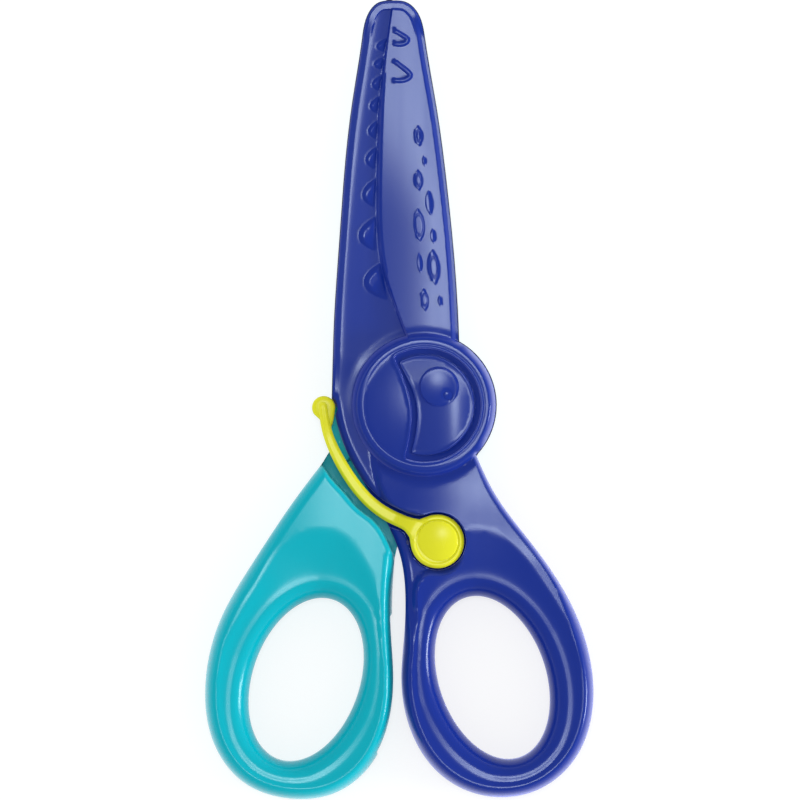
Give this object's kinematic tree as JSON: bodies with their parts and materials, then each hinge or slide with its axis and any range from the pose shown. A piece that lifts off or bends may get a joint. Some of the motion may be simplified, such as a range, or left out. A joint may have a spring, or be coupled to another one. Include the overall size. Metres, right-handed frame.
{
  "type": "child's craft scissors",
  "caption": "Child's plastic craft scissors with a crocodile relief on the blade, two finger loops and a springy opening lever beside the pivot.",
  "frame": {"origin": "pivot axis where it meets the surface that the scissors lie on, at the middle of the rear cap's face", "axes": "+Y from the pivot to the blade tips, +X to the right seen from the front, +Z out of the front face"},
  "size_m": [0.0585, 0.1204, 0.01],
  "materials": {
    "blue_plastic": "glossy injection-moulded polypropylene, deep blue",
    "teal_plastic": "glossy injection-moulded polypropylene, teal",
    "lime_plastic": "glossy springy acetal, yellow-green",
    "insert_plastic": "glass-filled nylon, dark navy",
    "bush_plastic": "natural acetal",
    "screw_steel": "zinc-plated steel"
  },
  "bodies": {
    "front": {"front_half": "blue_plastic", "front_blade": "insert_plastic", "eye_panel": "blue_plastic", "pivot_screw": "screw_steel", "screw_washer": "screw_steel", "lever_rivet": "lime_plastic"},
    "rear": {"rear_half": "teal_plastic", "rear_blade": "insert_plastic", "rear_cap": "teal_plastic", "pivot_bush": "bush_plastic"},
    "lever": {"spring_lever": "lime_plastic"}
  },
  "joints": [
    {"name": "pivot", "type": "hinge", "parent": "front", "child": "rear", "pos_m": [0, 0, 0], "axis": [0, 0, -1], "range_deg": [0, 35]},
    {"name": "lever_swing", "type": "hinge", "parent": "front", "child": "lever", "pos_m": [0.002, -0.0205, 0], "axis": [0, 0, 1], "range_deg": [0, 2], "stiffness_Nm_per_rad": 0.05}
  ]
}
